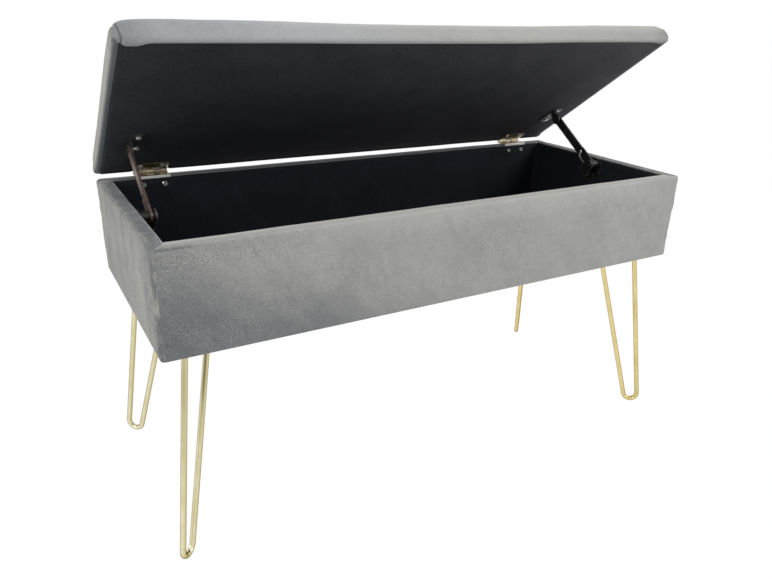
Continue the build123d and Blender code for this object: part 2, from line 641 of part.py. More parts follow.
nodes = {
    "front_panel": front_panel,
    "back_panel": back_panel,
    "left_panel": left_panel,
    "right_panel": right_panel,
    "bottom_panel": bottom_panel,
    "panel_screws": panel_screws,
    "body_cover": body_cover,
    "well_lining": well_lining,
    "dust_cover": dust_cover,
    "leg_screws": leg_screws,
    "hinge_left_box_leaf": hinge_box_leaf_left,
    "hinge_right_box_leaf": hinge_box_leaf_right,
    "hinge_left_pin": hinge_pin_left,
    "hinge_right_pin": hinge_pin_right,
    "hinge_box_screws": hinge_box_screws,
    "stay_wall_screws": stay_wall_screws,
}
for name, part in legs.items():
    nodes["leg_" + name] = part
for end, part in both_ends(wall_bracket).items():
    nodes[f"stay_{end}_wall_bracket"] = part
for end, part in both_ends(stay_pin).items():
    nodes[f"stay_{end}_pin"] = part
for end, part in both_ends(stay_arm).items():
    nodes[f"stay_{end}_arm"] = part
for end in ("left", "right"):
    nodes[f"stay_{end}_spacers"] = [both_ends(part)[end] for part in stay_spacers]

lid_nodes = {
    "lid_board": lid_board,
    "lid_foam": lid_foam,
    "lid_cover": lid_cover,
    "lid_lining": lid_lining,
    "hinge_left_lid_leaf": hinge_lid_leaf_left,
    "hinge_right_lid_leaf": hinge_lid_leaf_right,
    "hinge_lid_screws": hinge_lid_screws,
    "stay_lid_screws": stay_lid_screws,
}
for end, part in both_ends(lid_bracket).items():
    lid_nodes[f"stay_{end}_lid_bracket"] = part
for end, part in both_ends(rivet).items():
    lid_nodes[f"stay_{end}_rivet"] = part

for name, part in lid_nodes.items():
    if isinstance(part, list):
        nodes[name] = [open_lid(piece) for piece in part]
    else:
        nodes[name] = open_lid(part)

# The origin is the middle of the floor area that the open bench covers
lid_back = hinge_y - (hinge_y - DEPTH / 2) * cos(radians(LID_OPEN_ANGLE))
lid_back += (lid_z1 - LID_TOP_R / 2 - hinge_z) * sin(radians(LID_OPEN_ANGLE))
foot_front = DEPTH / 2 + rod_r - (FOOT_DIAGONAL - BEND_R) * sqrt(0.5)
origin_y = (lid_back - foot_front) / 2

os.makedirs("parts", exist_ok=True)
for name, part in nodes.items():
    pieces = part if isinstance(part, list) else [part]
    solids = []
    for piece in pieces:
        solids += (Pos(0, -origin_y, 0) * piece).solids()
    shape = solids[0] if len(solids) == 1 else Compound(children=solids)
    export_step(shape, f"parts/{name}.step")

print("origin_y", origin_y)
print("hinge", hinge_y - origin_y, hinge_z)
print("rivet", arm_x, rivet_y - origin_y, rivet_z)
print("headings", heading_open, heading_shut)
print("well", well_x, well_y, well_z0, rim_z)
print("lid", lid_z0, lid_z1)
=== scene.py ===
"""The storage bench dressed for its picture.

Velvet over the box and the padded lid, black linings in the well, under the lid and under the box, and the
finishes of the legs, hinges and stays. Metres, in the model's own frame.
"""

import json
import math

import bmesh
import bpy
from mathutils import Matrix, Vector, noise


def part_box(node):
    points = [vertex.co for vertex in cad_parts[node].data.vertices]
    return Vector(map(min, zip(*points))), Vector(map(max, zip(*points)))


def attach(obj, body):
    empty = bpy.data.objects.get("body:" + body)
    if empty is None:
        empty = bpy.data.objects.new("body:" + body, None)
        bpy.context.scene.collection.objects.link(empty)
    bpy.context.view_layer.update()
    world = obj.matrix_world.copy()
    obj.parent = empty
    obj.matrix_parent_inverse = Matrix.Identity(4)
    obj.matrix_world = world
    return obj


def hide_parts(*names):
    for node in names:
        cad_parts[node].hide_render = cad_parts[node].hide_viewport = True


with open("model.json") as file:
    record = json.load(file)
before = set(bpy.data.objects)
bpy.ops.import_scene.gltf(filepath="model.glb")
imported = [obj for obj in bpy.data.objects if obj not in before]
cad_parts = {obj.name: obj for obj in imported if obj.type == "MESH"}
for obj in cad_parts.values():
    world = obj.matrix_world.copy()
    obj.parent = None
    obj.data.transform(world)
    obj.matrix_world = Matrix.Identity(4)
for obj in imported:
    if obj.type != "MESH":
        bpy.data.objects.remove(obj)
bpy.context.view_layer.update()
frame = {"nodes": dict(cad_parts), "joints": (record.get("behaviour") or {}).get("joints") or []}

scene = bpy.context.scene
nodes = frame["nodes"]
MM = 0.001

# Sizes taken from the model
box_low, box_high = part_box("body_cover")
well_low, well_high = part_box("well_lining")
dust_low, dust_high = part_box("dust_cover")
leg_low, leg_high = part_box("leg_front_left")
leaf_low, leaf_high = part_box("hinge_right_box_leaf")
middle_y = (box_low.y + box_high.y) / 2
half_length = (box_high.x - box_low.x) / 2
half_depth = (box_high.y - box_low.y) / 2
rod_middle = (leg_low.x + leg_high.x) / 2
leaf_middle = (leaf_low.x + leaf_high.x) / 2
leaf_half = (leaf_high.x - leaf_low.x) / 2

# The lid's hinge, and the turn that opens a lid made shut
lid_hinge = [joint for joint in frame["joints"] if joint["name"] == "lid_hinge"][0]
hinge_point = Vector(lid_hinge["pos_m"])
open_angle = -math.radians(lid_hinge["range_deg"][0])
turn_open = Matrix.Rotation(open_angle, 4, Vector(lid_hinge["axis"]))
opening = Matrix.Translation(hinge_point) @ turn_open @ Matrix.Translation(-hinge_point)

# Fineness of the meshes
CLOTH_STEP = 5 * MM
LINING_STEP = 9 * MM
PAD_VOXEL = 5.5 * MM
CORNER_STEPS = 8

# Sizes of the velvet round the box
VELVET = 2.3 * MM
OUTER_SKIN = 0.8 * VELVET
HEM = 16 * MM
HEM_THICKNESS = 1.2 * MM
HEM_EDGE = 1.5 * MM
FOOT_ROUND = 1.2 * MM
RIM_WIDTH = 19.4 * MM
RIM_ROUND = 5 * MM
RIM_INNER_ROUND = 1.6 * MM
BOX_CORNER = 6 * MM

# How that velvet stands off its boards
BOX_FULLNESS = 1.1 * MM
BOX_WAVE = 0.45 * MM
BOX_WAVE_SIZE = 70 * MM
BOX_DIMPLE = 0.2 * MM
BOX_DIMPLE_SIZE = 22 * MM
CORNER_REACH = 11 * MM
CORNER_PUCKER = 1.3 * MM
CORNER_PUCKER_SIZE = 9 * MM
CORNER_CREASE = 0.9 * MM
CORNER_CREASE_WIDTH = 1.6 * MM

# How the hinges' leaves press the rim's inner edge back
LEAF_PRESS = 2.2 * MM
LEAF_PRESS_LIMIT = 3 * MM
LEAF_PRESS_START = 0.3 * MM
LEAF_PRESS_END = 4 * MM

# Sizes of the padded lid
LID_UNDERSIDE = hinge_point.z + 2.5 * MM
LID_THICKNESS = 31.5 * MM
LID_CORNER = 17 * MM
LID_TOP_ROUND = 12 * MM
LID_TUCK = 4 * MM
LID_SHRINK = 1.5 * MM
LID_CROWN = 5 * MM
LID_HELD_HEIGHT = 5 * MM
PAD_LIFT = 0.5 * MM
SWELL_MOMENTS = 20

# How the lid's velvet is fuller or flatter than its nominal form
LID_BACK_FULLNESS = 3.0 * MM
LID_FRONT_FULLNESS = 1.6 * MM
LID_FRONT_FADE = (50 * MM, 330 * MM)
LID_FRONT_MIDDLE = 0.9 * MM
LID_FRONT_MIDDLE_FADE = (100 * MM, 250 * MM)
LID_TOP_LEFT = 2.5 * MM
LID_TOP_RIGHT = 3.4 * MM
LID_TOP_RISE = (100 * MM, 330 * MM)
LID_TOP_SAG = 1.6 * MM
LID_CORNER_WEAR = 1.6 * MM
LID_CORNER_WEAR_ALONG = (5 * MM, 50 * MM)
LID_CORNER_WEAR_ACROSS = (10 * MM, 60 * MM)
LID_LEFT_END = 0.3 * MM
LID_RIGHT_END = 2.4 * MM
LID_HOLLOW = 0.5 * MM
LID_HOLLOW_SIZE = 90 * MM
LID_DIMPLE = 0.25 * MM
LID_DIMPLE_SIZE = 30 * MM

# Folded corners of the lid's velvet
FOLD_FROM_END = 8 * MM
FOLD_LEAN = 3.5 * MM
FOLD_LAP = 0.9 * MM
FOLD_LAP_FADE = 14 * MM
FOLD_GROOVE = 0.6 * MM
FOLD_GROOVE_WIDTH = 2.5 * MM
FOLD_EDGE = 1.5 * MM
LEFT_LIP = 3.0 * MM
RIGHT_LIP = 1.2 * MM

# Sizes of the linings
LINING = 1.2 * MM
LINING_RIPPLE = 0.12 * MM
LINING_CLEARANCE = 0.3 * MM
LID_LINING_INSET = 8 * MM
LID_LINING_BACK = 4.5 * MM
LID_LINING_END = 6.8 * MM
LID_LINING_BED = 1.4 * MM
LID_LINING_DRAPE = 1.1
LID_LINING_RIPPLE_SIZE = 50 * MM
DUST_RIPPLE_SIZE = 60 * MM
HAND_CUT = 0.9 * MM
HAND_CUT_SIZE = 120 * MM
WELL_LINING = 0.96 * MM
WELL_LINING_STANDOFF = 1.5 * MM
WELL_FLOOR_ROUND = 7 * MM
WELL_FLOOR_MIDDLE = 0.5 * MM
WELL_CORNER = 3 * MM
WELL_SLACK = 0.55 * MM
WELL_SLACK_SIZE = 90 * MM
WELL_FOLD = 0.3 * MM
WELL_FOLD_SIZE = 30 * MM
OVER_LEAF = 1.45 * MM

# The lean of the brush marks in the front's nap
BRUSHED_ANGLE = math.radians(38)

# The side of the legs given a deeper, darker gold as painted shade, and the side given a painted dark
# reflection
PAINTED_SHADE_FROM = (0.85, -0.1, -0.5)
DARK_REFLECTION_FROM = (-0.45, -0.89, 0.0)

# The sides of the hinges given painted highlights
KNUCKLE_HIGHLIGHT_FROM = (0.0, -0.6, 0.8)
FORWARD = (0, -1, 0)

# The camera's place, its turns and its lens
CAMERA_PLACE = (-0.5540, -0.8887, 0.6785)
CAMERA_HEADING = math.radians(-30.75)
CAMERA_TILT = math.radians(67.22)
CAMERA_ROLL = math.radians(1.80)
CAMERA_LENS = 31.72
CAMERA_SENSOR = 36

# Floor and light
FLOOR_HALF = 12.0
FLOOR_GREY = 0.9
FLOOR_WHITE = 1.04
FLOOR_SEEN_WHITE = 0.93
SKY_LIGHT = 0.5


# Mesh work


def new_piece(name, points, faces):
    """A piece made of points and faces, with its faces turned outwards."""
    mesh = bpy.data.meshes.new(name)
    mesh.from_pydata(points, [], faces)
    shape = bmesh.new()
    shape.from_mesh(mesh)
    bmesh.ops.remove_doubles(shape, verts=shape.verts, dist=1e-6)
    bmesh.ops.recalc_face_normals(shape, faces=shape.faces)
    shape.to_mesh(mesh)
    shape.free()
    mesh.shade_smooth()
    piece = bpy.data.objects.new(name, mesh)
    scene.collection.objects.link(piece)
    return piece


def settle(piece):
    """Makes a piece's modifiers part of its mesh."""
    graph = bpy.context.evaluated_depsgraph_get()
    made = bpy.data.meshes.new_from_object(piece.evaluated_get(graph))
    old = piece.data
    piece.modifiers.clear()
    piece.data = made
    bpy.data.meshes.remove(old)
    piece.data.shade_smooth()


def push(piece, depth):
    """Moves each point along its normal by what depth(point, normal) gives."""
    moved = [v.co + v.normal * depth(v.co, v.normal) for v in piece.data.vertices]
    for vertex, point in zip(piece.data.vertices, moved):
        vertex.co = point
    piece.data.update()


def ripple(point, size, turn):
    """Smooth unevenness between -1 and 1, whose hills are about so large."""
    return noise.noise(point / size + Vector((17.3 * turn, 5.1 * turn, 9.7 * turn)))


def ease(value, low, high):
    """Rises smoothly from 0 to 1 between two values."""
    share = min(1.0, max(0.0, (value - low) / (high - low)))
    return share * share * (3 - 2 * share)


def hill(value, width):
    """A bell of height 1 about zero."""
    return math.exp(-((value / width) ** 2))


def inside_edges(point):
    """How far a point is inside the bench's nearer end and its nearer long side."""
    return half_length - abs(point.x), half_depth - abs(point.y - middle_y)


def past_leaf(point):
    """How far a point is, along the bench, past the edge of the nearer hinge's leaf."""
    return abs(abs(point.x) - leaf_middle) - leaf_half


def outline(half_x, half_y, corner, inset, step, around):
    """Points round a rectangle with rounded corners. The count stays the same for any inset."""
    radius = max(corner - inset, 0.4 * MM)
    reach_x = half_x - inset - radius
    reach_y = half_y - inset - radius
    sides = (round((half_y - corner) * 2 / step), round((half_x - corner) * 2 / step))
    starts = ((1, -1, -90), (1, 1, 0), (-1, 1, 90), (-1, -1, 180))
    rows = []
    for side_x, side_y, start in starts:
        row = []
        for k in range(around + 1):
            turn = math.radians(start + 90 * k / around)
            x = side_x * reach_x + radius * math.cos(turn)
            y = side_y * reach_y + radius * math.sin(turn)
            row.append((x, y))
        rows.append(row)
    points = []
    for n, row in enumerate(rows):
        points += row
        points += straight(row[-1], rows[(n + 1) % 4][0], sides[n % 2])
    return points


def round_edge(inset, level, radius, start, end, steps):
    """Points of a profile round an edge, as insets and levels; 0 degrees faces out and 90 faces up."""
    points = []
    for k in range(steps + 1):
        turn = math.radians(start + (end - start) * k / steps)
        points.append((inset - radius * math.cos(turn), level + radius * math.sin(turn)))
    return points


def straight(first, last, count):
    """Points on a straight line between two others, without them."""
    points = []
    for k in range(1, count):
        share = k / count
        points.append((first[0] + (last[0] - first[0]) * share, first[1] + (last[1] - first[1]) * share))
    return points


def carried_round(profile, half_x, half_y, corner, step, around, closed):
    """Points and faces of a profile carried round a rectangle, and how many points each ring has."""
    points = []
    faces = []
    count = 0
    for inset, level in profile:
        ring = outline(half_x, half_y, corner, inset, step, around)
        count = len(ring)
        points += [(x, y + middle_y, level) for x, y in ring]
    rows = len(profile)
    for row in range(rows if closed else rows - 1):
        after = (row + 1) % rows
        for k in range(count):
            beside = (k + 1) % count
            faces.append((row * count + k, row * count + beside, after * count + beside, after * count + k))
    return points, faces, count


def flat_sheet(name, reach_x, reach_y, level, step, thickness):
    """A flat sheet with thickness, its edges cut a little unevenly as by hand."""
    count_x = round(2 * reach_x / step)
    count_y = round(2 * reach_y / step)
    points = []
    for j in range(count_y + 1):
        for i in range(count_x + 1):
            x = (2 * i / count_x - 1) * reach_x
            y = (2 * j / count_y - 1) * reach_y
            spot = Vector((x, y, level))
            x += ripple(spot, HAND_CUT_SIZE, 4) * HAND_CUT * (x / reach_x) ** 8
            y += ripple(spot, HAND_CUT_SIZE, 5) * HAND_CUT * (y / reach_y) ** 8
            points.append((x, y + middle_y, level))
    faces = []
    for j in range(count_y):
        for i in range(count_x):
            first = j * (count_x + 1) + i
            faces.append((first, first + 1, first + count_x + 2, first + count_x + 1))
    piece = new_piece(name, points, faces)
    thicken(piece, thickness, 1)
    return piece


def thicken(piece, thickness, side):
    """Gives a sheet its thickness, to one side of the faces that it has."""
    solid = piece.modifiers.new("Thickness", "SOLIDIFY")
    solid.thickness = thickness
    solid.offset = side
    settle(piece)


# Velvet round the box


def box_velvet_profile():
    """The velvet cut through: hem, outer face, rounded rim, inner edge, and back along the boards."""
    low = box_low.z
    rim = box_high.z
    hem_top = low + HEM_THICKNESS
    under_rim = rim - VELVET
    inner = RIM_WIDTH - RIM_INNER_ROUND
    profile = [(HEM, low)]
    profile += straight((HEM, low), (FOOT_ROUND, low), 3)
    profile += round_edge(FOOT_ROUND, low + FOOT_ROUND, FOOT_ROUND, -90, 0, 3)
    profile += straight((0, low + FOOT_ROUND), (0, rim - RIM_ROUND), 26)
    profile += round_edge(RIM_ROUND, rim - RIM_ROUND, RIM_ROUND, 0, 90, 6)
    profile += straight((RIM_ROUND, rim), (inner, rim), 4)
    profile += round_edge(inner, rim - RIM_INNER_ROUND, RIM_INNER_ROUND, 90, 180, 3)
    profile += [(RIM_WIDTH, under_rim), (VELVET + RIM_ROUND / 2, under_rim)]
    profile += [(VELVET, under_rim - RIM_ROUND / 2), (VELVET, hem_top), (HEM, hem_top)]
    return profile


def velvet_on_boards(point, normal):
    """How far the velvet stands off the boards: full, uneven, and puckered along the corner folds."""
    x, y = inside_edges(point)
    on_end = normal.x * point.x > 0 and x < OUTER_SKIN
    on_side = normal.y * (point.y - middle_y) > 0 and y < OUTER_SKIN
    on_corner = max(x, y) < BOX_CORNER and min(x, y) < BOX_CORNER * 0.6 and normal.z > -0.5
    shows = on_end or on_side or on_corner or normal.z > 0.3
    if not shows or point.z < box_low.z + HEM_EDGE:
        return 0.0
    share = (point.z - box_low.z) / (box_high.z - box_low.z)
    upright = 1 - abs(normal.z)
    near_corner = hill(max(x, y), CORNER_REACH)
    fullness = BOX_FULLNESS * 4 * share * (1 - share) * upright * (1 - near_corner)
    uneven = BOX_WAVE * ripple(point, BOX_WAVE_SIZE, 1) + BOX_DIMPLE * ripple(point, BOX_DIMPLE_SIZE, 2)
    pucker = CORNER_PUCKER * ripple(point, CORNER_PUCKER_SIZE, 3) * near_corner * upright
    crease = CORNER_CREASE * hill(x - y, CORNER_CREASE_WIDTH) * near_corner * upright
    return fullness + uneven + pucker - crease


def make_box_velvet():
    """The cover of the box, pressed back where the hinges' leaves pass over the rim."""
    profile = box_velvet_profile()
    points, faces, _ = carried_round(
        profile, half_length, half_depth, BOX_CORNER, CLOTH_STEP, CORNER_STEPS, True
    )
    piece = new_piece("box_velvet", points, faces)
    push(piece, velvet_on_boards)
    pressed_to = box_high.y - RIM_WIDTH + LEAF_PRESS
    for vertex in piece.data.vertices:
        past = past_leaf(vertex.co)
        before = pressed_to - vertex.co.y
        if past < LEAF_PRESS_END and 0 <= before < LEAF_PRESS_LIMIT:
            vertex.co.y += before * (1 - ease(past, LEAF_PRESS_START, LEAF_PRESS_END))
    return piece


# The padded lid, made shut and then turned open


def lid_pad_profile():
    """Half of the pad cut through, from under the board's edge to the top."""
    low = LID_UNDERSIDE + PAD_LIFT
    top = LID_UNDERSIDE + LID_THICKNESS - LID_SHRINK
    profile = [(LID_SHRINK + LID_LINING_INSET, low)]
    profile += round_edge(LID_SHRINK + LID_TUCK, low + LID_TUCK, LID_TUCK, -90, 0, 4)
    profile += round_edge(LID_SHRINK + LID_TOP_ROUND, top - LID_TOP_ROUND, LID_TOP_ROUND, 0, 90, 6)
    return profile


def swell(piece, held, reach):
    """Lets a closed pad swell like stuffed cloth. Held points stay, and none goes beyond its reach."""
    still = piece.vertex_groups.new(name="held")
    still.add([v.index for v in piece.data.vertices if held(v.co)], 1.0, "REPLACE")
    start = [(v.co.copy(), v.normal.copy()) for v in piece.data.vertices]
    cloth = piece.modifiers.new("Swell", "CLOTH")
    cloth.settings.quality = 4
    cloth.settings.mass = 0.4
    cloth.settings.bending_stiffness = 4.0
    cloth.settings.vertex_group_mass = "held"
    cloth.settings.use_pressure = True
    cloth.settings.uniform_pressure_force = 4.0
    cloth.settings.effector_weights.gravity = 0.0
    for moment in range(1, SWELL_MOMENTS + 1):
        scene.frame_set(moment)
    settle(piece)
    scene.frame_set(1)
    for vertex, (before, outward) in zip(piece.data.vertices, start):
        move = (vertex.co - before).dot(outward)
        vertex.co = before + outward * min(max(move, 0.0), reach(before))
    piece.data.update()


def lid_reach(point):
    """How far the lid's velvet may swell: to its nominal sides, and a crown more in the middle."""
    across = 1 - min(1.0, abs(point.y - middle_y) / half_depth) ** 2
    along = 1 - min(1.0, abs(point.x) / half_length) ** 6
    return LID_SHRINK + LID_CROWN * across * along


def back_fullness(point):
    """How much fuller the lid's back edge is, away from the hinges."""
    edge = middle_y + half_depth
    near_edge = ease(point.y, edge - 12 * MM, edge - 4 * MM)
    return LID_BACK_FULLNESS * near_edge * ease(past_leaf(point), -2 * MM, 2.5 * MM)


def front_fullness(point):
    """How much fuller the lid's front edge is, fading towards its right end."""
    edge = middle_y - half_depth
    fullness = LID_FRONT_FULLNESS * (1 - ease(point.x, *LID_FRONT_FADE))
    fullness += LID_FRONT_MIDDLE * (1 - ease(abs(point.x), *LID_FRONT_MIDDLE_FADE))
    return fullness * (1 - ease(point.y, edge + 5 * MM, edge + 9 * MM))


def top_fullness(point):
    """How full the lid's top is along its length, with the front left corner worn down."""
    left = LID_TOP_LEFT * ease(-point.x, *LID_TOP_RISE)
    right = LID_TOP_RIGHT * ease(point.x, *LID_TOP_RISE)
    from_left = half_length + point.x
    from_front = half_depth + point.y - middle_y
    worn = 1 - ease(from_left, *LID_CORNER_WEAR_ALONG)
    worn *= 1 - ease(from_front, *LID_CORNER_WEAR_ACROSS)
    return left + right - LID_TOP_SAG - LID_CORNER_WEAR * worn


def fold_line(share):
    """How far from the lid's end its corner folds run, at a share of its thickness: a number or a shade."""
    return FOLD_FROM_END - FOLD_LEAN * share


def lining_inset(x, y, at_back):
    """How far inside the lid's edges its lining ends, nearest to a place so far inside them."""
    if x < y:
        return LID_LINING_END
    return LID_LINING_BACK if at_back else LID_LINING_INSET


def tight_edge(point, normal):
    """Draws the velvet tight over the board's edge: the pad's lower half gets its nominal rounded form."""
    x, y = inside_edges(point)
    inside = min(x, y)
    corner = LID_CORNER * (0.4 + 0.6 * ease(point.z, LID_UNDERSIDE, LID_UNDERSIDE + LID_THICKNESS))
    if max(x, y) < corner:
        inside = corner - math.hypot(corner - x, corner - y)
    lined = lining_inset(x, y, point.y > middle_y)
    above = point.z - LID_UNDERSIDE - LID_LINING_BED * ease(inside, lined - 2 * MM, lined + 1 * MM)
    if inside < LID_TUCK and above < LID_TUCK:
        depth = LID_TUCK - math.hypot(LID_TUCK - inside, LID_TUCK - above)
    else:
        depth = min(inside, above)
    return depth * (1 - ease(above / LID_THICKNESS, 0.4, 0.75))


def corner_fold(point, normal):
    """The velvet's folded corners: each long side laps over the end, with a lip of cloth at the front."""
    x, y = inside_edges(point)
    share = (point.z - LID_UNDERSIDE) / LID_THICKNESS
    if y > 30 * MM or share > 1.2 or x > 90 * MM:
        return 0.0
    beyond = x - fold_line(share)
    lap = FOLD_LAP * ease(beyond, -FOLD_EDGE, FOLD_EDGE) * math.exp(-max(0.0, beyond) / FOLD_LAP_FADE)
    groove = FOLD_GROOVE * hill(beyond + FOLD_EDGE, FOLD_GROOVE_WIDTH)
    on_edge = 1 - ease(y, 10 * MM, 22 * MM)
    fold = (lap - groove) * on_edge * ease(share, -0.1, 0.05) * (1 - ease(share, 0.6, 0.9))
    if point.y > middle_y:
        return fold
    lip = LEFT_LIP if point.x < 0 else RIGHT_LIP
    lip *= ease(beyond, 0, 4 * MM) * (1 - ease(beyond, 13 * MM, 32 * MM))
    lip *= (1 - ease(share, 0.08, 0.22)) * (1 - ease(y, 8 * MM, 13 * MM))
    return fold + lip


def lid_unevenness(point, normal):
    """Small hollows of the wadding under the lid's velvet, and its fuller edges."""
    fuller = back_fullness(point) + front_fullness(point)
    fuller *= 1 - ease(point.z, LID_UNDERSIDE + 4 * MM, LID_UNDERSIDE + 16 * MM)
    if normal.z < -0.6:
        return fuller
    share = (point.z - LID_UNDERSIDE) / LID_THICKNESS
    fuller += top_fullness(point) * ease(share, 0.4, 0.9)
    end_fullness = (LID_RIGHT_END if point.x > 0 else LID_LEFT_END) * 4 * share * (1 - share)
    fuller += end_fullness * ease(abs(point.x), half_length - 12 * MM, half_length - 3 * MM)
    hollows = LID_HOLLOW * ripple(point, LID_HOLLOW_SIZE, 7)
    return fuller + hollows + LID_DIMPLE * ripple(point, LID_DIMPLE_SIZE, 8)


def make_lid_pad():
    """The lid's velvet over its foam."""
    profile = lid_pad_profile()
    points, faces, count = carried_round(
        profile, half_length, half_depth, LID_CORNER, CLOTH_STEP, CORNER_STEPS, False
    )
    last = (len(profile) - 1) * count
    faces.append(tuple(range(count)))
    faces.append(tuple(range(last, last + count)))
    piece = new_piece("lid_pad", points, faces)
    even = piece.modifiers.new("Even", "REMESH")
    even.mode = "VOXEL"
    even.voxel_size = PAD_VOXEL
    settle(piece)
    swell(piece, lambda point: point.z < LID_UNDERSIDE + LID_HELD_HEIGHT, lid_reach)
    finer = piece.modifiers.new("Finer", "SUBSURF")
    finer.levels = 1
    settle(piece)
    push(piece, tight_edge)
    push(piece, tight_edge)
    push(piece, lid_unevenness)
    push(piece, corner_fold)
    piece.data.transform(opening)
    return piece


# Linings


def make_lid_lining():
    """Black cloth stretched under the lid's board, following the fuller back edge."""
    reach_x = half_length - LID_LINING_END - LINING_CLEARANCE
    reach_y = half_depth - (LID_LINING_INSET + LID_LINING_BACK) / 2 - LINING_CLEARANCE
    piece = flat_sheet("lid_lining_cloth", reach_x, reach_y, LID_UNDERSIDE, CLOTH_STEP, LINING)
    piece.data.transform(Matrix.Translation((0, (LID_LINING_INSET - LID_LINING_BACK) / 2, 0)))
    push(piece, lambda point, normal: LINING_RIPPLE * ripple(point, LID_LINING_RIPPLE_SIZE, 11))
    for vertex in piece.data.vertices:
        vertex.co.z -= back_fullness(vertex.co) * LID_LINING_DRAPE
    piece.data.transform(opening)
    return piece


def make_dust_cover():
    """Black cloth under the box, held by its hem and the leg plates."""
    reach_x = (dust_high.x - dust_low.x) / 2
    reach_y = (dust_high.y - dust_low.y) / 2
    piece = flat_sheet("dust_cover_cloth", reach_x, reach_y, dust_low.z, LINING_STEP, LINING)
    push(piece, lambda point, normal: LINING_RIPPLE * ripple(point, DUST_RIPPLE_SIZE, 12))
    return piece


def lining_crease(point, normal):
    """Slack folds that lean along the well's walls, pressed back to the boards, and flat over each leaf."""
    over_leaf = 1 - ease(past_leaf(point), 1 * MM, 8 * MM)
    over_leaf *= ease(point.z, leaf_low.z - 8 * MM, leaf_low.z - 1 * MM)
    over_leaf *= ease(point.y, well_high.y - 6 * MM, well_high.y - 4 * MM)
    lean = Vector((point.x + 0.6 * point.z, point.y + 0.4 * point.z, 0.25 * point.z))
    slack = WELL_SLACK * (ripple(point, WELL_SLACK_SIZE, 9) - 1)
    slack += WELL_FOLD * (ripple(lean, WELL_FOLD_SIZE, 10) - 1)
    slack *= ease(well_high.z - point.z, 0, 12 * MM)
    return slack * (1 - over_leaf) + OVER_LEAF * over_leaf


def turn_inwards(piece, middle):
    """Turns a piece's faces towards a point inside it."""
    shape = bmesh.new()
    shape.from_mesh(piece.data)
    inward = [f for f in shape.faces if f.normal.dot(middle - f.calc_center_median()) > 0]
    if len(inward) < len(shape.faces) / 2:
        bmesh.ops.reverse_faces(shape, faces=shape.faces)
    shape.to_mesh(piece.data)
    shape.free()


def make_well_lining():
    """Black cloth over the floor and walls of the well, in one piece."""
    top = well_high.z
    floor_level = well_low.z + WELL_LINING_STANDOFF
    half_x = (well_high.x - well_low.x) / 2 - WELL_LINING_STANDOFF
    half_y = (well_high.y - well_low.y) / 2 - WELL_LINING_STANDOFF
    bend = floor_level + WELL_FLOOR_ROUND
    innermost = (half_y - WELL_FLOOR_MIDDLE, floor_level)
    profile = [(0, top)]
    profile += straight((0, top), (0, bend), 14)
    profile += round_edge(WELL_FLOOR_ROUND, bend, WELL_FLOOR_ROUND, 0, -90, 5)
    profile += straight((WELL_FLOOR_ROUND, floor_level), innermost, 16)
    profile += [innermost]
    points, faces, count = carried_round(profile, half_x, half_y, WELL_CORNER, LINING_STEP, 3, False)
    last = (len(profile) - 1) * count
    faces.append(tuple(range(last, last + count)))
    piece = new_piece("well_lining_cloth", points, faces)
    turn_inwards(piece, Vector((0, middle_y, (floor_level + top) / 2)))
    push(piece, lining_crease)
    thicken(piece, WELL_LINING, -1)
    return piece


# Shader work


class Shade:
    """A socket in a finish. Sums on it add Math nodes, and add() makes any other node."""

    def __init__(self, tree, socket=None):
        self.tree = tree
        self.socket = socket

    def add(self, kind, settings, inputs, output=0):
        """A node of this kind: its settings first, then the values and links of its sockets."""
        made = self.tree.nodes.new("ShaderNode" + kind)
        for name, setting in settings.items():
            setattr(made, name, setting)
        for name, value in inputs.items():
            if isinstance(value, Shade):
                self.tree.links.new(value.socket, made.inputs[name])
            else:
                made.inputs[name].default_value = value
        return Shade(self.tree, made.outputs[output] if made.outputs else None)

    def sum(self, operation, first, second):
        """A Math node of two values."""
        return self.add("Math", {"operation": operation}, {0: first, 1: second})

    def __add__(self, other):
        return self.sum("ADD", self, other)

    def __radd__(self, other):
        return self.sum("ADD", other, self)

    def __sub__(self, other):
        return self.sum("SUBTRACT", self, other)

    def __rsub__(self, other):
        return self.sum("SUBTRACT", other, self)

    def __mul__(self, other):
        return self.sum("MULTIPLY", self, other)

    def __rmul__(self, other):
        return self.sum("MULTIPLY", other, self)

    def __abs__(self):
        return self.sum("ABSOLUTE", self, 0)


def grey(level):
    """A neutral colour."""
    return (level, level, level, 1)


def colour(red, green, blue):
    """A colour given as it looks on a screen, 0 to 255."""
    parts = []
    for part in (red, green, blue):
        part /= 255
        parts.append(part / 12.92 if part <= 0.04045 else ((part + 0.055) / 1.055) ** 2.4)
    return (*parts, 1)


def mixed(mask, first, second):
    """The first colour where the mask is 0 and the second where it is 1."""
    return mask.add("Mix", {"data_type": "RGBA"}, {0: mask, 6: first, 7: second}, 2)


def larger(first, second):
    """The larger of two values."""
    return first.sum("MAXIMUM", first, second)


def stretched(place, x, y, z):
    """The same place measured by other steps along each axis."""
    return place.add("VectorMath", {"operation": "MULTIPLY"}, {0: place, 1: (x, y, z)})


def cloud(place, scale, detail=2.0, rough=0.5, warp=0.0):
    """Noise between 0 and 1."""
    values = {"Vector": place, "Scale": scale, "Detail": detail, "Roughness": rough, "Distortion": warp}
    return place.add("TexNoise", {}, values)


def between(value, low, high):
    """Rises smoothly from 0 to 1 between two values."""
    limits = {"Value": value, "From Min": low, "From Max": high}
    return value.add("MapRange", {"interpolation_type": "SMOOTHSTEP"}, limits)


def axis(place, name):
    """One coordinate of the place."""
    return place.add("SeparateXYZ", {}, {"Vector": place}, "XYZ".index(name))


def away_from(place, name, middle, half):
    """How far inside the bench's sides a place is, along one axis."""
    return half - abs(axis(place, name) - middle)


def towards(place, direction):
    """How much the surface faces a direction, from -1 to 1."""
    facing = place.add("NewGeometry", {}, {}, "Normal")
    return place.add("VectorMath", {"operation": "DOT_PRODUCT"}, {0: facing, 1: direction}, "Value")


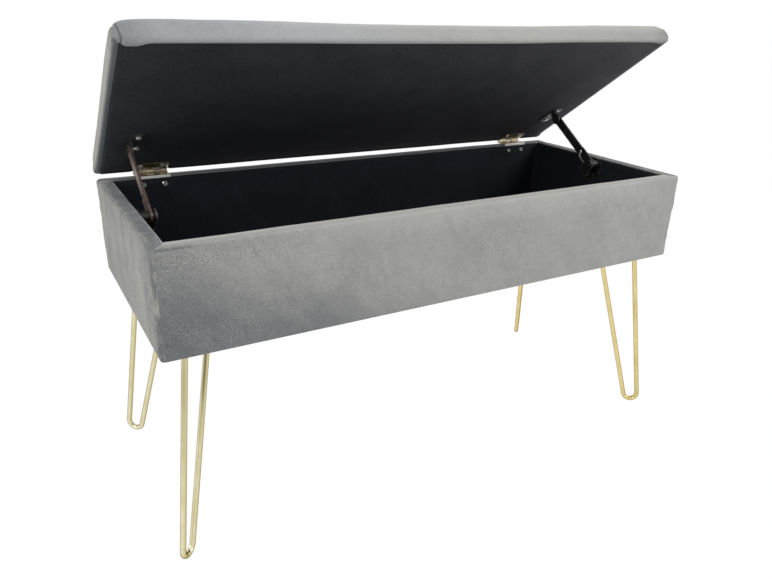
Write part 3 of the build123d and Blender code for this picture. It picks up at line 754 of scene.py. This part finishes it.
def raised(height, strength, depth):
    """A surface raised by a height between 0 and 1 times the depth."""
    return height.add("Bump", {}, {"Height": height, "Strength": strength, "Distance": depth})


def surface(place, values):
    """The finish's own shader."""
    return place.add("BsdfPrincipled", {}, values)


def cleared(owner):
    """The node tree of a material or of the world, emptied."""
    owner.use_nodes = True
    owner.node_tree.nodes.clear()
    return owner.node_tree


def finish(name, made_from, tilt=0.0):
    """A finish made by a function of the place, turned back about the lid's hinge by a tilt."""
    material = bpy.data.materials.new(name)
    place = Shade(cleared(material)).add("TexCoord", {}, {}, "Object")
    if tilt:
        turn = {"Vector": place, "Center": hinge_point, "Angle": tilt}
        place = place.add("VectorRotate", {"rotation_type": "X_AXIS"}, turn)
    place.add("OutputMaterial", {}, {"Surface": made_from(place)})
    return material


# Finish of the velvet

DARK_NAP = colour(98, 101, 106)
PALE_NAP = colour(193, 192, 186)
WARM_NAP = colour(193, 191, 180)
COOL_NAP = colour(196, 197, 200)


def velvet(place, nap, streak, weave_share, pale):
    """Grey velvet: faint brushed patches of the nap, and by shares given, streaks and the weave."""
    patches = cloud(place, 6.0, 3.0, 0.55, 0.8)
    streaks = cloud(stretched(place, 130, 130, 24), 1.0, 3.0, 0.65, 0.8)
    pile = cloud(place, 480.0, 3.0, 0.65)
    weave = cloud(place, 1100.0, 1.0, 0.5)
    mottle = cloud(place, 70.0, 3.0, 0.6)
    tone = 0.52 + (patches - 0.5) * 0.16 + (mottle - 0.5) * 0.12 + (pile - 0.5) * 0.34
    tone = tone + (streaks - 0.5) * streak + (weave - 0.5) * weave_share + nap
    height = pile * 0.7 + mottle * 0.3
    return surface(
        place,
        {
            "Base Color": mixed(between(tone, 0.0, 1.0), DARK_NAP, pale),
            "Roughness": 0.92 - pile * 0.12,
            "Normal": raised(height, 0.3, 0.5 * MM),
            "Specular IOR Level": 0.15,
            "Sheen Weight": 0.3,
            "Sheen Roughness": 0.4,
            "Sheen Tint": grey(0.9),
        },
    )


def front_nap(place, on_top, upper):
    """The box's front: darker low at the left and lighter high to the right, partly nap and partly painted
    shade and light; light on the rim; brushed in leaning strokes.
    """
    x = axis(place, "X")
    z = axis(place, "Z")
    # Painted shade low at the left and painted light high to the right, partly nap.
    low_left = 1 - between(x * 0.35 + z + cloud(place, 9.0) * 0.1, 0.23, 0.37)
    right = between(x, -0.36, -0.1)
    far_left = 1 - between(x, -0.43, -0.34)
    far_right = between(x, 0.28, 0.42)
    nap = upper * (right * 0.16 - far_right * 0.1 - 0.06) - low_left * 0.26 - far_left * 0.06
    inner = between(away_from(place, "Y", middle_y, half_depth), 5 * MM, 15 * MM)
    nap = nap + on_top * (inner * 0.44 + 0.12)
    # Painted shade in a crease just under the rim at the left.
    below_rim = z - (box_high.z - 2.6 * MM)
    painted_crease_shade = 1 - between(abs(below_rim), 0.8 * MM, 2.4 * MM)
    nap = nap - painted_crease_shade * (1 - between(x, -0.39, -0.36)) * 0.18
    lean = {"Vector": place, "Angle": BRUSHED_ANGLE}
    brushed = place.add("VectorRotate", {"rotation_type": "Y_AXIS"}, lean)
    strokes = cloud(stretched(brushed, 46, 46, 9), 1.0, 3.0, 0.6, 0.5)
    return nap + (strokes - 0.5) * (0.21 - right * 0.07)


def end_nap(place, on_top, upper, inner_end):
    """The nap on the box's ends: dark along the inner rim and patchy at the back, with painted light and
    shade of puckers at the front.
    """
    y = axis(place, "Y")
    from_end = away_from(place, "X", 0.0, half_length)
    patches = between(cloud(place, 55.0, 2.0, 0.6, 0.6), 0.42, 0.62)
    near_front = 1 - between(y, box_low.y, box_low.y + 70 * MM)
    at_back = between(y, box_high.y - 50 * MM, box_high.y - 20 * MM)
    edge_line = on_top * between(from_end, RIM_WIDTH - 3 * MM, RIM_WIDTH - 1.5 * MM)
    nap = inner_end * (patches * 0.2 - 0.36 + near_front * 0.22) + edge_line * 0.3
    nap = nap + on_top * at_back * (patches - 0.6) * 0.5 - upper * 0.05 - near_front * 0.1 - 0.09
    strokes = cloud(stretched(place, 34, 34, 12), 1.0, 3.0, 0.6, 0.8)
    nap = nap + (strokes - 0.5) * (1 - inner_end) * 0.5
    # Painted light and shade of the puckers near the front corner.
    puckers = between(cloud(stretched(place, 1, 1, 0.55), 95.0, 3.0, 0.6, 1.2), 0.35, 0.65)
    at_corner = 1 - between(y, box_low.y + 6 * MM, box_low.y + 32 * MM)
    return nap + (puckers - 0.6) * at_corner * (1 - on_top) * 0.3


def box_velvet_look(place):
    """The box's velvet, its nap brushed one way on the front and another on the ends."""
    x = axis(place, "X")
    z = axis(place, "Z")
    from_end = away_from(place, "X", 0.0, half_length)
    from_side = away_from(place, "Y", middle_y, half_depth)
    on_end = between(from_side - from_end, -5.5 * MM, -2.5 * MM)
    at_back = between(axis(place, "Y"), middle_y, middle_y + 1 * MM)
    on_top = between(z, box_high.z - 3 * MM, box_high.z - 0.5 * MM)
    upper = between(z, box_high.z - 40 * MM, box_high.z - 4 * MM)
    wavering = from_end + (cloud(place, 24.0, 2.0) - 0.5) * (10 * MM)
    inner_end = on_top * between(wavering, 3 * MM, 7.5 * MM) * (1 - between(x, 0.0, 0.1) * 0.6)
    nap = (1 - on_end) * (1 - at_back) * front_nap(place, on_top, upper)
    nap = nap + on_end * end_nap(place, on_top, upper, inner_end)
    nap = nap - (1 - on_end) * at_back * on_top * between(from_side, 9 * MM, 17 * MM) * 0.35
    pale = mixed(on_end * (1 - inner_end), PALE_NAP, WARM_NAP)
    weave_share = 0.7 * (1 - between(x, -0.4, -0.2)) + 0.35
    return velvet(place, nap, on_end * 0.2 + 0.08, weave_share, pale)


def lid_velvet_look(place):
    """The lid's velvet: darker towards its ends, cooler at the left, with painted shade in each corner
    fold's crease and under the ends, and painted light high on the sides.
    """
    x = axis(place, "X")
    from_end = away_from(place, "X", 0.0, half_length)
    from_side = away_from(place, "Y", middle_y, half_depth)
    share = (axis(place, "Z") - LID_UNDERSIDE) * (1 / LID_THICKNESS)
    # Painted shade in the crease along each corner fold.
    crease = 1 - between(abs(from_end - fold_line(share)), 0.3 * MM, 1.4 * MM)
    crease = crease * (1 - between(from_side, 9 * MM, 14 * MM)) * (1 - between(share, 0.85, 1.0))
    near_corner = (1 - between(from_end, 5 * MM, 50 * MM)) * (1 - between(from_side, 10 * MM, 40 * MM))
    on_end = between(from_side - from_end, -1.5 * MM, 1.5 * MM)
    # Painted shade where the velvet turns under the board at the ends.
    painted_underside_shade = on_end * (1 - between(share, 0.0, 0.1))
    nap = 0.1 * between(from_end, 0.02, 0.3) - crease * 0.3 - painted_underside_shade * 0.5 - near_corner * 0.12
    # Painted light: lighter away from the left end, most on the upper sides and the top.
    nap = nap + between(x, -0.4, -0.1) * (between(share, 0.35, 0.8) * 0.18 + 0.03)
    pale = mixed(between(x, -0.35, 0.15), COOL_NAP, PALE_NAP)
    pale = mixed(on_end * (1 - between(from_end, 6 * MM, 60 * MM)), pale, WARM_NAP)
    streak = 0.05 * between(cloud(place, 5.0), 0.3, 0.7)
    return velvet(place, nap, streak, 0.1, pale)


# Finish of the linings

LINT = colour(88, 88, 92)


def black_cloth(place, dark, pale):
    """Black pressed-fibre lining with paler stray fibres."""
    fibres = cloud(place, 420.0, 3.0, 0.65, 1.5)
    lint = between(cloud(place, 900.0, 1.0, 0.5), 0.72, 0.8)
    slack = cloud(place, 14.0, 2.0, 0.5, 0.4)
    shade = mixed(between(fibres * 0.7 + slack * 0.3, 0.3, 0.7), dark, pale)
    return surface(
        place,
        {
            "Base Color": mixed(lint * 0.3, shade, LINT),
            "Roughness": 0.95 - fibres * 0.12,
            "Normal": raised(fibres, 0.4, 0.4 * MM),
            "Specular IOR Level": 0.2,
        },
    )


def lid_lining_look(place):
    """The lid's lining, with painted light: a little paler towards the right and along its hinges."""
    low = 1 - between(axis(place, "Z"), hinge_point.z, hinge_point.z + 90 * MM)
    right = between(axis(place, "X"), -0.42, 0.42) + low * 0.3
    dark = mixed(right, colour(34, 37, 43), colour(54, 55, 59))
    pale = mixed(right, colour(56, 58, 64), colour(81, 81, 85))
    return black_cloth(place, dark, pale)


def well_lining_look(place):
    """The well's lining: painted shade low down, painted light on the right end, and painted light streaks
    along faint leaning folds at the left.
    """
    x = axis(place, "X")
    z = axis(place, "Z")
    # Painted light streaks along faint leaning folds at the left.
    across = x * 0.8 + z * 0.6
    folds = across.add("TexNoise", {"noise_dimensions": "1D"}, {"W": across, "Scale": 26.0, "Detail": 1.0})
    at_left = 1 - between(x, -0.1, 0.15)
    # Painted light on the right end wall.
    painted_light_right_end = between(x, well_high.x - 9 * MM, well_high.x - 3 * MM)
    # Painted shade: darker low down, lighter high up and on the fold streaks.
    high = between(z, well_low.z + 40 * MM, well_high.z) + between(folds, 0.5, 0.72) * at_left * 0.6
    dark = mixed(high, colour(14, 16, 22), colour(20, 22, 29))
    pale = mixed(high, colour(28, 30, 38), colour(38, 41, 50))
    dark = mixed(painted_light_right_end, dark, colour(26, 28, 34))
    pale = mixed(painted_light_right_end, pale, colour(48, 50, 57))
    return black_cloth(place, dark, pale)


# Finishes of the metal pieces

GOLD_TINT = colour(84, 70, 34)
GOLD_DARK_REFLECTION = colour(92, 80, 40)
GOLD_CHIPPED = colour(96, 82, 54)
HIGHLIGHT_WHITE = colour(255, 252, 244)
LACQUER_DULL = colour(34, 32, 33)
LACQUER_BRIGHT = colour(50, 47, 47)


def painted_dark_reflection(place):
    """Where a dark reflection is painted in a stripe on the front left leg, more on its inner rod."""
    x = axis(place, "X")
    on_leg = (1 - between(x, -0.2, -0.15)) * (1 - between(axis(place, "Y"), 0.0, 0.01))
    high = between(axis(place, "Z"), 0.06, 0.26)
    by_rod = between(x, rod_middle - 4 * MM, rod_middle + 4 * MM) * 0.45 + 0.35
    return between(towards(place, DARK_REFLECTION_FROM), 0.72, 0.97) * on_leg * high * by_rod


def gold_rod(place):
    """Pale gold lacquer on steel: deeper to the right, darker on one side as painted shade, with a painted
    dark reflection high on one leg, chipped in small specks.
    """
    right = between(axis(place, "X"), 0.0, 0.38)
    haze = cloud(place, 30.0, 3.0, 0.55)
    grain = cloud(stretched(place, 1, 1, 0.15), 700.0, 2.0, 0.5)
    specks = place.add("TexVoronoi", {}, {"Vector": place, "Scale": 190.0})
    chipped = (1 - between(specks, 0.08, 0.15)) * between(cloud(place, 14.0, 2.0), 0.5, 0.62)
    dull = mixed(right, colour(212, 202, 160), colour(208, 190, 128))
    bright = mixed(right, colour(230, 223, 190), colour(228, 212, 156))
    side = mixed(right, colour(198, 187, 138), colour(204, 178, 106))
    shade = mixed(between(haze * 0.7 + grain * 0.3, 0.3, 0.7), dull, bright)
    # Painted shade: deeper, darker gold on the sides facing right and down.
    shade = mixed(between(towards(place, PAINTED_SHADE_FROM) + haze * 0.4, -0.1, 1.0), shade, side)
    # Painted reflection: a dark stripe high on the front left leg.
    shade = mixed(painted_dark_reflection(place), shade, GOLD_DARK_REFLECTION)
    return surface(
        place,
        {
            "Base Color": mixed(chipped, shade, GOLD_CHIPPED),
            "Metallic": 1 - chipped * 0.8,
            "Roughness": 0.14 + grain * 0.1 + chipped * 0.3,
            "Normal": raised(grain, 0.08, 0.2 * MM),
            "Specular Tint": GOLD_TINT,
        },
    )


def worn_and_highlit_edge(place, radius):
    """1 along sharp edges, worn bright and given painted highlights, and 0 on flats."""
    return between(1 - towards(place, place.add("Bevel", {}, {"Radius": radius})), 0.02, 0.25)


def plated(place, dull, bright, edge, rough, metal, painted_highlight=None):
    """Plated or lacquered metal: fine scratches, rubbed patches, edges worn bright and given painted
    highlights, and any painted highlights given.
    """
    rubbed = cloud(place, 90.0, 4.0, 0.6, 0.5)
    scratches = cloud(stretched(place, 1, 0.2, 0.2), 1200.0, 2.0, 0.6)
    # Edge wear together with painted edge highlights.
    worn = worn_and_highlit_edge(place, 0.9 * MM) * between(rubbed, 0.25, 0.5)
    shade = mixed(between(rubbed * 0.7 + scratches * 0.3, 0.35, 0.65), dull, bright)
    shade = mixed(worn, shade, edge)
    metallic = metal * (1 - worn * 0.5)
    # Painted highlights, where given: pale and less metallic.
    if painted_highlight:
        shade = mixed(painted_highlight, shade, HIGHLIGHT_WHITE)
        metallic = metallic * (1 - painted_highlight * 0.85)
    return surface(
        place,
        {
            "Base Color": shade,
            "Metallic": metallic,
            "Roughness": rough - 0.08 + rubbed * 0.16 - worn * 0.06,
            "Normal": raised(scratches, 0.1, 0.2 * MM),
        },
    )


def old_nickel(place):
    """The hinges' plating, with painted highlights where the leaves bend over the rim and along the
    knuckles.
    """
    y = axis(place, "Y")
    over_rim = 1 - between(y, leaf_low.y + 1.2 * MM, leaf_low.y + 2.4 * MM)
    below_lid = 1 - between(axis(place, "Z"), box_high.z, hinge_point.z)
    # Painted highlight where each leaf bends over the rim.
    bend = over_rim * between(towards(place, FORWARD), 0.45, 0.8) * below_lid
    on_barrel = between(y, hinge_point.y - 4.5 * MM, hinge_point.y - 3.5 * MM)
    # Painted highlight along the crest of the knuckles.
    knuckle_highlight = between(towards(place, KNUCKLE_HIGHLIGHT_FROM), 0.85, 0.98) * on_barrel
    painted_highlight = larger(bend, knuckle_highlight * 0.5)
    return plated(place, colour(96, 85, 68), colour(188, 176, 150), colour(170, 158, 134), 0.18, 0.8, painted_highlight)


def lit_bronze(place):
    """The left stay arm's brown finish: the stays' bronze made lighter as painted light, with painted edge
    highlights.
    """
    return plated(place, colour(96, 81, 74), colour(130, 112, 103), colour(138, 122, 113), 0.36, 0.5)


def lacquer_and_shaded_arm(place):
    """The stays' pins, rivets and wall screws, and the other stay arm, whose bronze is painted black as
    painted shade.
    """
    return plated(place, LACQUER_DULL, LACQUER_BRIGHT, colour(84, 79, 76), 0.4, 0.25)


def worn_and_highlit_lacquer(place):
    """The wall brackets' lacquer, which is black, with edges worn and given painted highlights."""
    return plated(place, LACQUER_DULL, LACQUER_BRIGHT, colour(176, 168, 164), 0.4, 0.25)


def dull_lacquer(place):
    """The lid brackets' greyer lacquer."""
    return plated(place, colour(48, 46, 47), colour(66, 63, 63), colour(100, 95, 92), 0.42, 0.2)


def bright_plate(place):
    """The bright screws of the hinges and of the lid's brackets."""
    return plated(place, colour(186, 187, 189), colour(235, 235, 235), colour(250, 250, 250), 0.16, 0.75)


def zinc(place):
    """The dull screws of the legs and the panels."""
    return plated(place, colour(160, 160, 156), colour(200, 200, 194), colour(232, 232, 228), 0.36, 0.9)


# Finishes of the spacers and the boards


def nylon(place):
    """Black moulded plastic."""
    haze = cloud(place, 260.0, 3.0, 0.6)
    return surface(
        place,
        {
            "Base Color": mixed(haze, colour(20, 20, 21), colour(34, 34, 36)),
            "Roughness": 0.45 + haze * 0.2,
            "Normal": raised(haze, 0.1, 0.2 * MM),
        },
    )


def raw_board(place):
    """Pressed wood: chips and dust of different browns."""
    chips = place.add("TexVoronoi", {}, {"Vector": stretched(place, 1, 1, 2.5), "Scale": 260.0}, 1)
    tone = axis(chips, "X") * 0.6 + cloud(place, 40.0, 4.0, 0.6) * 0.4
    return surface(
        place,
        {
            "Base Color": mixed(between(tone, 0.15, 0.85), colour(150, 118, 80), colour(214, 186, 142)),
            "Roughness": 0.75 + tone * 0.15,
            "Normal": raised(tone, 0.2, 0.3 * MM),
        },
    )


# Pieces and what they are made of

box_velvet = make_box_velvet()
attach(box_velvet, "box")
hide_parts("body_cover")
box_velvet.data.materials.append(finish("box velvet", box_velvet_look))

lid_pad = make_lid_pad()
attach(lid_pad, "lid")
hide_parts("lid_cover", "lid_foam")
lid_pad.data.materials.clear()
lid_pad.data.materials.append(finish("lid velvet", lid_velvet_look, open_angle))

under_lid = finish("lid lining", lid_lining_look)
in_well = finish("well lining", well_lining_look)
linings = (
    (make_lid_lining(), "lid", "lid_lining", under_lid),
    (make_well_lining(), "box", "well_lining", in_well),
    (make_dust_cover(), "box", "dust_cover", in_well),
)
for cloth, body, node, look in linings:
    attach(cloth, body)
    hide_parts(node)
    cloth.data.materials.clear()
    cloth.data.materials.append(look)

gold_look = finish("gold rod", gold_rod)
nickel_look = finish("old nickel", old_nickel)
lit_bronze_look = finish("lit bronze", lit_bronze)
lacquer_and_shaded_arm_look = finish("black lacquer and shaded arm", lacquer_and_shaded_arm)
worn_and_highlit_look = finish("worn and highlit lacquer", worn_and_highlit_lacquer)
dull_look = finish("dull lacquer", dull_lacquer)
bright_look = finish("bright plate", bright_plate)
zinc_look = finish("zinc plate", zinc)
nylon_look = finish("black nylon", nylon)
board_look = finish("pressed board", raw_board)


def look_of(name):
    """The finish of a model piece, by its name."""
    if name in ("leg_screws", "panel_screws"):
        return zinc_look
    if name.startswith("leg_"):
        return gold_look
    if name in ("hinge_box_screws", "hinge_lid_screws", "stay_lid_screws"):
        return bright_look
    if name.startswith("hinge_"):
        return nickel_look
    if name.endswith("_spacers"):
        return nylon_look
    # The left arm gets a lit copy of the bronze; the right arm falls to the black finish below as painted
    # shade.
    if name == "stay_left_arm":
        return lit_bronze_look
    if name.endswith("_lid_bracket"):
        return dull_look
    if name.endswith("_wall_bracket"):
        return worn_and_highlit_look
    if name.startswith("stay_"):
        return lacquer_and_shaded_arm_look
    return board_look


for name, node in nodes.items():
    node.data.materials.clear()
    node.data.materials.append(look_of(name))

# Floor, light and camera


def seen_white(tree, level):
    """The share of white that the camera and reflections see in place of the lit look."""
    rays = Shade(tree).add("LightPath", {}, {}, "Is Camera Ray")
    node = rays.socket.node
    for other in ("Is Glossy Ray", "Is Transmission Ray"):
        rays = larger(rays, Shade(tree, node.outputs[other]))
    return rays * level


def make_floor():
    """A plain white floor that keeps a faint shadow."""
    size = FLOOR_HALF
    corners = [(-size, -size, 0), (size, -size, 0), (size, size, 0), (-size, size, 0)]
    piece = new_piece("floor", corners, [(0, 1, 2, 3)])
    material = bpy.data.materials.new("white floor")
    tree = cleared(material)
    white = Shade(tree).add("Emission", {}, {"Color": grey(1.0), "Strength": FLOOR_WHITE})
    lit = white.add("BsdfDiffuse", {}, {"Color": grey(FLOOR_GREY)})
    both = white.add("MixShader", {}, {0: seen_white(tree, FLOOR_SEEN_WHITE), 1: lit, 2: white})
    both.add("OutputMaterial", {}, {"Surface": both})
    piece.data.materials.append(material)


def make_world(level):
    """Soft light from all round, seen as white."""
    world = bpy.data.worlds.new("studio")
    scene.world = world
    tree = cleared(world)
    soft = Shade(tree).add("Background", {}, {"Color": grey(1.0), "Strength": level})
    white = soft.add("Background", {}, {"Color": grey(1.0), "Strength": 1.0})
    both = soft.add("MixShader", {}, {0: seen_white(tree, 1.0), 1: soft, 2: white})
    both.add("OutputWorld", {}, {"Surface": both})


def make_lamp(name, place, target, size, power):
    """A soft square lamp."""
    light = bpy.data.lights.new(name, "AREA")
    light.size = size
    light.energy = power
    lamp = bpy.data.objects.new(name, light)
    lamp.location = place
    lamp.rotation_mode = "QUATERNION"
    lamp.rotation_quaternion = (Vector(target) - Vector(place)).to_track_quat("-Z", "Y")
    scene.collection.objects.link(lamp)


def make_camera():
    """The camera of the picture."""
    camera_data = bpy.data.cameras.new("camera")
    camera_data.lens = CAMERA_LENS
    camera_data.sensor_width = CAMERA_SENSOR
    camera = bpy.data.objects.new("camera", camera_data)
    scene.collection.objects.link(camera)
    turn = Matrix.Rotation(CAMERA_HEADING, 4, "Z") @ Matrix.Rotation(CAMERA_TILT, 4, "X")
    turn = turn @ Matrix.Rotation(CAMERA_ROLL, 4, "Z")
    camera.matrix_world = Matrix.Translation(CAMERA_PLACE) @ turn
    scene.camera = camera


make_floor()
make_world(SKY_LIGHT)
make_lamp("right lamp", place=(1.8, -1.7, 1.9), target=(0.2, 0, 0.4), size=1.4, power=42)
make_lamp("left lamp", place=(-2.1, -0.3, 1.3), target=(-0.3, 0, 0.4), size=1.2, power=16)
make_camera()
scene.view_settings.view_transform = "Standard"
